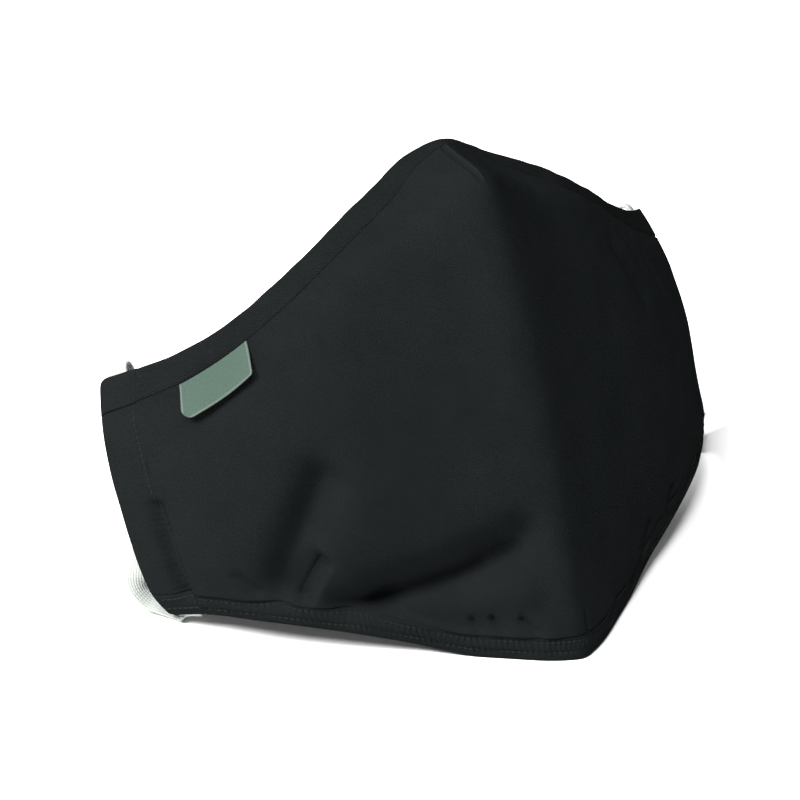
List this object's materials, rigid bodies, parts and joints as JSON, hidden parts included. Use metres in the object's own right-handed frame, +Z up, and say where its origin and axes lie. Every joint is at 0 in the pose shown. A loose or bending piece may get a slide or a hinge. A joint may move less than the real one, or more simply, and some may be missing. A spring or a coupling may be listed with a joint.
{
  "type": "cloth face mask",
  "caption": "Cup-shaped cloth face mask with a nose dart, bound top band, stitched hem, side casings and flat elastic ear loops.",
  "frame": {"origin": "on the surface that the mask stands on, under the middle of its cloth", "axes": "+Z up, -Y out of the front of the mask, +X to the left side of its wearer"},
  "size_m": [0.1756, 0.1046, 0.1172],
  "materials": {
    "cup_cotton": "matte brushed black cotton",
    "band_cotton": "matte black cotton band",
    "label_weave": "grey-green woven tape",
    "loop_elastic": "white knitted elastic"
  },
  "bodies": {
    "root": {"cup_panel": "cup_cotton", "top_band": "band_cotton", "bottom_hem": "cup_cotton", "side_casing_right": "cup_cotton", "side_casing_left": "cup_cotton", "side_label": "label_weave", "ear_loop_right": "loop_elastic", "ear_loop_left": "loop_elastic"}
  },
  "joints": []
}
